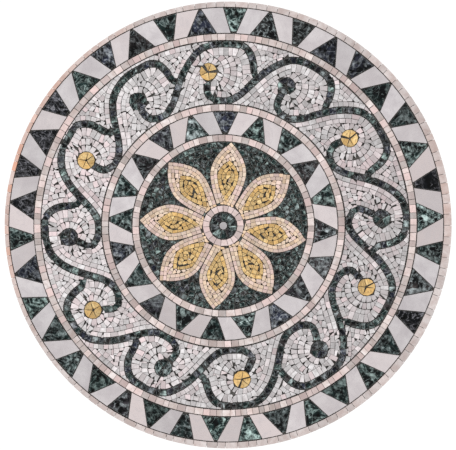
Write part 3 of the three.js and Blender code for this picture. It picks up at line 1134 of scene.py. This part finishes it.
def scroll_slits(plan):
    """Dark slits left open among the stones, most of them in the volutes, where they point at the eye."""
    rng = plan.rng
    for i in range(len(WAVES)):
        for _ in range(9):
            facing = rng.uniform(0, math.tau)
            middle = eye_centre(i) + cmath.rect(rng.uniform(EYE_RADIUS + 4, EYE_RADIUS + 20), facing)
            plan.gap(middle, rng.uniform(4.0, 7.0), 1.7, facing + rng.uniform(-0.3, 0.3))
    for _ in range(110):
        middle = place(rng.uniform(SCROLL[0] + 6, SCROLL[1] - 6), rng.uniform(0, math.tau))
        plan.gap(middle, rng.uniform(3.5, 6.0), 1.7, rng.uniform(0, math.pi))


def size_property(name, description, default):
    return FloatProperty(name=name, description=description, default=default, unit="LENGTH")


def colour_property(name, description, default):
    return FloatVectorProperty(name=name, description=description, default=default, subtype="COLOR")


class MosaicStones(bpy.types.PropertyGroup):
    """Sizes of the stones and of the net."""

    chip: size_property("Chip", "Length of a stone of the rings", 0.0095)
    field_chip: size_property("Field Chip", "Size of a stone of the pale field", 0.0068)
    petal_chip: size_property("Petal Chip", "Size of a stone of the petals", 0.0052)
    arris_width: size_property("Arris Width", "How far the worn edge is drawn in", 0.00042)
    arris_drop: size_property("Arris Drop", "How far the worn edge falls away", 0.0004)
    unevenness: size_property("Unevenness", "How unevenly the faces lie", 0.00022)
    net_pitch: size_property("Net Pitch", "Width of one opening of the net", 0.005)
    seed: IntProperty(name="Seed", description="Starts the random order of the stones", default=7)


class MosaicMarbles(bpy.types.PropertyGroup):
    """Colours of the marbles."""

    green: colour_property("Green", "Dark green marble", (0.0075, 0.017, 0.0165))
    slate: colour_property("Slate", "Slate blue stones of the green marble", (0.015, 0.018, 0.031))
    lilac: colour_property("Lilac", "Pale marble of the rays", (0.585, 0.552, 0.562))
    white: colour_property("White", "White marble of the field", (0.70, 0.675, 0.685))
    pink: colour_property("Pink", "Pink marble of the rings", (0.67, 0.61, 0.60))
    edge: colour_property("Edge", "Terracotta side of the edge strip", (0.78, 0.36, 0.22))
    petal: colour_property("Petal", "Rosy cream marble of the petals", (0.765, 0.66, 0.555))
    yellow: colour_property("Yellow", "Honey marble of the hearts and eyes", (0.83, 0.62, 0.30))


class MosaicStage(bpy.types.PropertyGroup):
    """Light, floor and camera."""

    sky: FloatProperty(name="Sky", description="Strength of the even light from all round", default=1.08)
    key_light: FloatProperty(
        name="Key Light", description="Power of the soft light at the upper left", default=14.0, unit="POWER"
    )
    distance: size_property("Distance", "From the camera to the stones", 3.0)
    frame_width: size_property("Frame Width", "Width that the picture takes in", 0.6118)
    floor_drop: size_property("Floor Drop", "From the panel's middle down to the floor", 0.95)


class MOSAIC_OT_rings(bpy.types.Operator):
    """Lay the narrow pink rings and the edge strip"""

    bl_idname = "mosaic.rings"
    bl_label = "Rings and Edge Strip"

    def execute(self, context):
        ready()
        sizes = context.scene.mosaic_stones
        chip = sizes.chip / MM
        plan = Plan(sizes.seed)
        for name, (inner, outer) in (
            ("outer_ring", OUTER_RING),
            ("middle_ring", MIDDLE_RING),
            ("inner_ring", INNER_RING),
        ):
            stones = []
            line = closed_line((inner + outer) / 2)
            plan.row(stones, line, outer - inner, chip, joint=RING_JOINT, spread=0.3)
            stone_piece(name + "_stones", stones, "pink", [name], sizes.seed, LITTLE_WEAR)
        stones = edge_stones(plan, chip * 1.5)
        stone_piece("edge_strip_stones", stones, "edge", ["edge_strip"], sizes.seed, LITTLE_WEAR)
        return {"FINISHED"}


BLACK_WEDGES = (12.5, 145.0, 155.0, 164.5, 174.0, 333.5)


def wedge_tint(rng, middle, outer):
    """Most wedges are green or slate, and a few outer ones nearly black."""
    degrees = math.degrees(middle) % 360
    if outer and any(abs(degrees - black) < 4 for black in BLACK_WEDGES):
        return 0.97
    return rng.uniform(0.0, 0.7)


class MOSAIC_OT_rays(bpy.types.Operator):
    """Cut the pale rays and the dark wedges of both zigzag rings"""

    bl_idname = "mosaic.rays"
    bl_label = "Rays and Wedges"

    def execute(self, context):
        ready()
        seed = context.scene.mosaic_stones.seed
        rng = random.Random(seed + 1)
        for zone, wedges, span in (("outer", OUTER_WEDGES, OUTER_RAYS), ("inner", INNER_WEDGES, INNER_RAYS)):
            sides = ray_sides(wedges, span)
            first = sides[0]
            sides.append((first[0] + math.tau, *first[1:]))
            dark = []
            pale = []
            for before, after in zip(sides, sides[1:]):
                tint = wedge_tint(rng, before[0], zone == "outer")
                dark.append(Stone(cut_wedge(before), rng.random(), tint))
                tone = rng.uniform(0.0, 0.9)
                pale.append(Stone(cut_ray(before, after, span), tone, rng.random()))
            stone_piece(zone + "_wedge_stones", dark, "green", [zone + "_wedges"], seed)
            stone_piece(zone + "_ray_stones", pale, "pale", [zone + "_rays"], seed)
        return {"FINISHED"}


band_marble = ranged((0.1, 0.95), (0.0, 0.85))


def field_marble(rng, point):
    """Some stretches of the field are pinker than others, and the right side is greyer than the left."""
    angle = cmath.phase(point)
    stretch = 0.5 + 0.3 * math.sin(angle * 2 + 1.2) + 0.2 * math.sin(angle * 5)
    tone = held(rng.gauss(0.46 - 0.22 * math.cos(angle), 0.3))
    return tone, held(rng.gauss(0.25 + 0.4 * stretch, 0.28))


def wave_rows(plan, field, lines, i, chip, how):
    """The rows of pale stones inside a wave: beside its band and the band under it, and round its eye."""
    arch = lines[i]
    under = lines[i - 1]
    # Upright stones up the rise and over the top, long ones laid down the dive
    rise = arch.part(BAND_STEPS, BAND_STEPS * 7)
    plan.row(field, rise.beside(BAND_SIDE + 5.4), 10.8, chip * 0.95, square=0.6, **how)
    dive = arch.part(BAND_STEPS * 7, BAND_STEPS * 13)
    plan.row(field, dive.beside(BAND_SIDE + 3), 6.0, 9.5, **how)
    plan.row(field, dive.beside(BAND_SIDE + 9.4), 6.0, 9.0, **how)
    last = BAND_STEPS * 17 - 6
    tail = under.part(BAND_STEPS * 12, last)
    plan.row(field, tail.beside(-BAND_SIDE - 4), 8.0, chip, square=0.6, **how)
    left = under.part(BAND_STEPS * 15, last)
    plan.row(field, left.beside(BAND_SIDE + 3), 6.0, chip, square=0.6, **how)
    for ring in range(3):
        radius = EYE_RADIUS + 5.0 + ring * 9.0
        loop = Line([eye_centre(i) + cmath.rect(radius, math.tau * s / 60 + 0.4) for s in range(61)])
        plan.row(field, loop, 8.4, chip * 0.95, square=1.0, least=14.0, **how)


class MOSAIC_OT_scroll(bpy.types.Operator):
    """Lay the dark band of the running scroll, its eyes and the pale field around them"""

    bl_idname = "mosaic.scroll"
    bl_label = "Scroll"

    def execute(self, context):
        ready()
        sizes = context.scene.mosaic_stones
        chip = sizes.field_chip / MM
        plan = Plan(sizes.seed + 2)
        band = []
        yellow = []
        field = []
        waves = range(len(WAVES))
        for i in waves:
            if i % 2:
                eye_stones(plan, yellow, eye_centre(i), any_marble)
            else:
                eye_stones(plan, band, eye_centre(i), band_marble)
        lines = [band_line(i) for i in waves]
        trim = between_circles(SCROLL[0] + 0.3, SCROLL[1] - 0.3)
        how = {"trim": trim, "marble": band_marble}
        for line in lines:
            plan.row(band, line, BAND_WIDTH, sizes.chip / MM * 0.9, joint=BAND_JOINT, **how)
        scroll_slits(plan)
        how = {"trim": trim, "marble": field_marble, "joint": FIELD_JOINT}
        for i in waves:
            wave_rows(plan, field, lines, i, chip, how)
        for line in lines:
            over = line.part(BAND_STEPS, BAND_STEPS * 11)
            plan.row(field, over.beside(-BAND_SIDE - 3.2), 6.2, chip, least=12.0, **how)
        for radius in (SCROLL[1] - 3.8, SCROLL[0] + 3.8):
            plan.row(field, closed_line(radius), 6.4, chip, least=16.0, **how)
        bare = raster_inside(circle(SCROLL[1] - 0.5)) & ~raster_inside(circle(SCROLL[0] + 0.5))
        for i in waves:
            bare &= abs(RASTER[:, None] + 1j * RASTER[None, :] - eye_centre(i)) > EYE_RADIUS + 1
        plan.fill(field, bare, chip, **how)
        seed = sizes.seed + 3
        stone_piece("scroll_band_stones", band, "green", ["scroll_band"], seed)
        eyes = [f"scroll_eye_{n + 1}" for n in range(len(WAVES) // 2)]
        stone_piece("scroll_eye_stones", yellow, "yellow", eyes, seed, 0.4)
        stone_piece("scroll_field_stones", field, "white", ["scroll_field"], seed, 0.75)
        return {"FINISHED"}


# Flower


def petal_angle(i):
    return wandering(i, PETAL_COUNT, PETAL_WANDER)


def leaf_half_width(leaf, height):
    belly = lerp(leaf["base"], leaf["tip"], leaf["belly"])
    if height > belly:
        return leaf["half"] * (1 - ((height - belly) / (leaf["tip"] - belly)) ** 2)
    return leaf["half"] * (1 - leaf["neck"] * ((belly - height) / (belly - leaf["base"])) ** 1.5)


def leaf_side(leaf, i, sign, steps=28):
    """One side of a leaf from its base to its tip, held halfway to the petal beside it."""
    middle = petal_angle(i)
    half_gap = sign * (petal_angle(i + sign) - middle) / 2
    points = []
    for step in range(steps + 1):
        height = lerp(leaf["base"], leaf["tip"], math.sin(step / steps * math.pi / 2))
        half = min(leaf_half_width(leaf, height), height * math.tan(half_gap) - JOINT / 2)
        points.append(place(math.hypot(height, half), middle + sign * math.atan2(half, height)))
    return points


def leaf_border(leaf, i):
    """The whole outline of a leaf, anticlockwise."""
    return leaf_side(leaf, i, -1) + leaf_side(leaf, i, 1)[::-1]


rim_marble = ranged((-0.1, 0.8), (0.05, 0.6))
second_marble = ranged((-0.1, 0.8), (0.15, 0.75))
collar_marble = ranged((0.1, 0.9), (0.65, 1.0))
disc_marble = ranged((0.1, 0.95), (0.0, 0.6))


def core_marble(rng, point):
    """The innermost stones of a petal are pale at its tip and yellower towards its foot."""
    inward = held((PETALS[1] - 20 - abs(point - centre_at(0.0))) / 40)
    return rng.uniform(0.3, 1.0), rng.uniform(0.1, 0.6) + 0.4 * inward


def ground_marble(rng, point):
    return rng.uniform(0.2, 0.8), held(rng.gauss(0.25, 0.2))


def pip_marble(rng, point):
    return -0.5, 0.2


def lay_heart(plan, hearts, i, chip):
    """The stones of a petal's heart: a row along each side, a few slits, and small stones between them."""
    rng = plan.rng
    heart = leaf_border(HEART_LEAF, i)
    how = {"joint": HEART_JOINT, "trim": inside_border(heart, 8.0)}
    for sign in (-1, 1):
        line = Line(leaf_side(HEART_LEAF, i, sign))
        for _ in range(2):
            point, along = line.beside(-sign * 5.7).at(rng.uniform(0.25, 0.8) * line.length)
            plan.gap(point, rng.uniform(5.5, 9.5), 1.8, cmath.phase(along))
        plan.row(hearts, line.beside(-sign * 2.7), 5.2, chip * 1.5, **how)
    middle = petal_angle(i)
    height = rng.uniform(0.45, 0.7) * (HEART_LEAF["tip"] - HEART_LEAF["base"]) + HEART_LEAF["base"]
    plan.gap(place(height, middle), rng.uniform(5.0, 8.0), 2.0, middle + rng.uniform(-0.9, 0.9))
    plan.fill(hearts, raster_inside(heart), chip * 1.1, least=4.0, **how)


class MOSAIC_OT_flower(bpy.types.Operator):
    """Lay the flower: its middle, its petals with their hearts, and the dark ground"""

    bl_idname = "mosaic.flower"
    bl_label = "Flower"

    def execute(self, context):
        ready()
        sizes = context.scene.mosaic_stones
        chip = sizes.petal_chip / MM
        plan = Plan(sizes.seed + 4)
        rng = plan.rng
        pip, disc, collar, petals, hearts, ground = ([] for _ in range(6))
        rim = [cmath.rect(PIP_RADIUS * rng.uniform(0.92, 1.0), math.tau * s / 11) for s in range(11)]
        plan.lay(pip, [centre_at(0.0) + point for point in rim], marble=pip_marble)
        disc_line = closed_line((PIP_RADIUS + JOINT + DISC_RADIUS) / 2)
        disc_width = DISC_RADIUS - PIP_RADIUS - JOINT
        plan.row(disc, disc_line, disc_width, 8.0, joint=DISC_JOINT, marble=disc_marble)
        collar_line = closed_line(sum(FLOWER_RING) / 2)
        plan.row(collar, collar_line, RING_WIDTH, 7.6, joint=COLLAR_JOINT, marble=collar_marble)
        for i in range(PETAL_COUNT):
            how = {"joint": PETAL_JOINT, "trim": inside_border(leaf_border(PETAL_LEAF, i)), "least": 6.0}
            for sign in (-1, 1):
                line = Line(leaf_side(PETAL_LEAF, i, sign))
                for inset, marble in ((2.2, rim_marble), (6.75, second_marble)):
                    plan.row(petals, line.beside(-sign * inset), 4.4, chip * 1.25, marble=marble, **how)
        for i in range(PETAL_COUNT):
            lay_heart(plan, hearts, i, chip)
            border = leaf_border(PETAL_LEAF, i)
            how = {"joint": COLLAR_JOINT, "trim": inside_border(border), "marble": core_marble}
            plan.fill(petals, raster_inside(border), chip, **how)
        how = {"joint": GROUND_JOINT, "trim": between_circles(*PETALS), "marble": ground_marble}
        plan.row(ground, closed_line(PETALS[1] - 3.6), 6.6, 8.0, least=12.0, **how)
        plan.fill(ground, raster_inside(circle(PETALS[1])) & ~raster_inside(circle(PETALS[0])), 7.0, **how)
        seed = sizes.seed + 5
        petal_nodes = [f"petal_{n + 1}" for n in range(PETAL_COUNT)]
        heart_nodes = [f"petal_heart_{n + 1}" for n in range(PETAL_COUNT)]
        stone_piece("flower_pip_stone", pip, "pale", ["flower_pip"], seed)
        stone_piece("flower_disc_stones", disc, "green", ["flower_disc"], seed)
        stone_piece("flower_ring_stones", collar, "pink", ["flower_ring"], seed, LITTLE_WEAR)
        stone_piece("petal_stones", petals, "petal", petal_nodes, seed, 0.5)
        stone_piece("petal_heart_stones", hearts, "yellow", heart_nodes, seed, LITTLE_WEAR)
        stone_piece("flower_ground_stones", ground, "green", ["flower_ground"], seed)
        return {"FINISHED"}


class MOSAIC_OT_backing(bpy.types.Operator):
    """Weave the net and spread the film of adhesive that holds the stones"""

    bl_idname = "mosaic.backing"
    bl_label = "Net and Adhesive"

    def execute(self, context):
        ready()
        sizes = context.scene.mosaic_stones
        thread = thread_material("net_thread", (0.72, 0.71, 0.66), (0.50, 0.485, 0.44))
        layers = ((0.25, -0.5, 0.0), (0.75, 0.5, 0.0), (0.5, 0.0, math.pi / 2))
        for number, (depth, aside, turn) in enumerate(layers, start=1):
            settings = {
                "Radius": (PANEL_RADIUS - BACKING_INSET) * MM,
                "Pitch": sizes.net_pitch,
                "Width": THREAD_WIDTH * MM,
                "Thickness": THREAD_THICKNESS * MM,
                "Depth": depth * MM,
                "Aside": aside * MM,
                "Turn": turn,
                "Material": thread,
            }
            mesh = bpy.data.meshes.new("net_plan")
            piece = run_tree(mesh, f"net_threads_{number}", *trees["net"], settings)
            stand_for(piece, ["mesh_backing"])
        film = film_material("adhesive_film", (0.34, 0.325, 0.30), (0.23, 0.22, 0.20))
        piece = film_piece(random.Random(sizes.seed + 6), film)
        stand_for(piece, ["mesh_backing"])
        return {"FINISHED"}


def film_piece(rng, material):
    """A round film of adhesive, uneven at its rim, that comes through the net in patches."""
    swells = []
    for _ in range(14):
        direction = cmath.rect(math.tau / rng.uniform(14, 70), rng.uniform(0, math.tau))
        swells.append((direction, rng.uniform(0, math.tau)))
    waves = [(rng.uniform(0, math.tau), rng.randint(5, 23), rng.uniform(0.1, 0.3)) for _ in range(6)]
    corners = []
    for back in (True, False):
        for ring in range(1, FILM_RINGS + 1):
            for sector in range(FILM_SECTORS):
                angle = math.tau * sector / FILM_SECTORS
                ripple = sum(height * math.sin(angle * count + start) for start, count, height in waves)
                radius = PANEL_RADIUS - BACKING_INSET - 0.9 + ripple * 0.5
                point = cmath.rect(radius * ring / FILM_RINGS, angle)
                depth = FILM_TOP
                if back:
                    swell = sum(math.sin((point * d.conjugate()).real + p) for d, p in swells)
                    depth = FILM_BACK + 0.15 - 0.7 * held(swell / 3.0 - 0.35) ** 0.7
                if ring == FILM_RINGS:
                    depth += 0.3 if back else -0.3
                corners.append((point.real * MM, -depth * MM, point.imag * MM))
    middles = (len(corners), len(corners) + 1)
    corners += [(0.0, -(FILM_BACK + 0.1) * MM, 0.0), (0.0, -FILM_TOP * MM, 0.0)]

    def pair(side, ring, sector):
        """Two corners side by side, numbered from the middle outwards."""
        first = (side * FILM_RINGS + ring) * FILM_SECTORS
        return first + sector, first + (sector + 1) % FILM_SECTORS

    faces = []
    for sector in range(FILM_SECTORS):
        for side, order in ((0, 1), (1, -1)):
            faces.append((middles[side], *pair(side, 0, sector)[::-1])[::order])
            for ring in range(FILM_RINGS - 1):
                faces.append((*pair(side, ring, sector), *pair(side, ring + 1, sector)[::-1])[::order])
        faces.append((*pair(0, FILM_RINGS - 1, sector), *pair(1, FILM_RINGS - 1, sector)[::-1]))
    mesh = bpy.data.meshes.new("adhesive_film")
    mesh.from_pydata(corners, [], faces)
    mesh.materials.append(material)
    return new_object("adhesive_film", mesh)


class MOSAIC_OT_stage(bpy.types.Operator):
    """Set the floor, the even light and the camera"""

    bl_idname = "mosaic.stage"
    bl_label = "Stage"

    def execute(self, context):
        scene = context.scene
        stage = scene.mosaic_stage
        scene.view_settings.view_transform = "Standard"
        world = bpy.data.worlds.new("even_sky")
        scene.world = world
        world.use_nodes = True
        sheet = NodeSheet(world.node_tree)
        sky = sheet.add("ShaderNodeBackground", None, {"Color": (1.0, 1.0, 1.0, 1.0), "Strength": stage.sky})
        sheet.node("ShaderNodeOutputWorld", None, {"Surface": sky})
        material, sheet = new_material("pale_floor")
        cloud = sheet.noise(sheet.coords(), 1.5, 3.0)
        grey = sheet.mixed(cloud * 0.3, (0.82, 0.82, 0.81), (0.76, 0.76, 0.75))
        shader = sheet.add("ShaderNodeBsdfPrincipled", None, {"Base Color": grey, "Roughness": 0.8})
        sheet.node("ShaderNodeOutputMaterial", None, {"Surface": shader})
        mesh = bpy.data.meshes.new("floor")
        corners = [(x, y, -stage.floor_drop) for x, y in ((-3, -3), (3, -3), (3, 3), (-3, 3))]
        mesh.from_pydata(corners, [], [(0, 1, 2, 3)])
        mesh.materials.append(material)
        new_object("floor", mesh)
        for name, power, size, spot in (
            ("key_light", stage.key_light, 1.2, Vector((-1.6, -2.2, 1.8))),
            ("back_light", stage.key_light * 0.6, 1.5, Vector((1.4, 2.2, 1.2))),
        ):
            light = bpy.data.lights.new(name, "AREA")
            light.energy = power
            light.size = size
            lamp = new_object(name, light)
            lamp.location = spot
            lamp.rotation_euler = (-spot).to_track_quat("-Z", "Y").to_euler()
        lens = bpy.data.cameras.new("camera")
        lens.sensor_width = 36.0
        lens.lens = lens.sensor_width * stage.distance / stage.frame_width
        lens.clip_start = 0.1
        lens.clip_end = 50.0
        camera = new_object("camera", lens)
        camera.location = (-0.0002, cad_box[0].y - stage.distance, 0.0)
        camera.rotation_euler = (math.pi / 2, 0.0, 0.0)
        scene.camera = camera
        return {"FINISHED"}


class MOSAIC_PT_panel(bpy.types.Panel):
    """Lists the pieces of the panel in the order in which they are made"""

    bl_label = "Round Mosaic Panel"
    bl_idname = "MOSAIC_PT_panel"
    bl_space_type = "VIEW_3D"
    bl_region_type = "UI"
    bl_category = "Mosaic"

    def draw(self, context):
        for name in GROUPS:
            group = getattr(context.scene, name)
            box = self.layout.box()
            for key in group.bl_rna.properties.keys():
                if key not in ("rna_type", "name"):
                    box.prop(group, key)
        for operator in OPERATORS:
            self.layout.operator(operator.bl_idname)


GROUPS = {"mosaic_stones": MosaicStones, "mosaic_marbles": MosaicMarbles, "mosaic_stage": MosaicStage}
OPERATORS = (
    MOSAIC_OT_stage,
    MOSAIC_OT_rings,
    MOSAIC_OT_rays,
    MOSAIC_OT_scroll,
    MOSAIC_OT_flower,
    MOSAIC_OT_backing,
)


def register():
    for kind in (*GROUPS.values(), *OPERATORS, MOSAIC_PT_panel):
        bpy.utils.register_class(kind)
    for key, group in GROUPS.items():
        setattr(bpy.types.Scene, key, PointerProperty(type=group))


def unregister():
    for key in GROUPS:
        delattr(bpy.types.Scene, key)
    for kind in reversed((*GROUPS.values(), *OPERATORS, MOSAIC_PT_panel)):
        bpy.utils.unregister_class(kind)


def main():
    """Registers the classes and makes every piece."""
    register()
    bpy.ops.mosaic.stage()
    bpy.ops.mosaic.rings()
    bpy.ops.mosaic.rays()
    bpy.ops.mosaic.scroll()
    bpy.ops.mosaic.flower()
    bpy.ops.mosaic.backing()


if __name__ == "__main__":
    main()
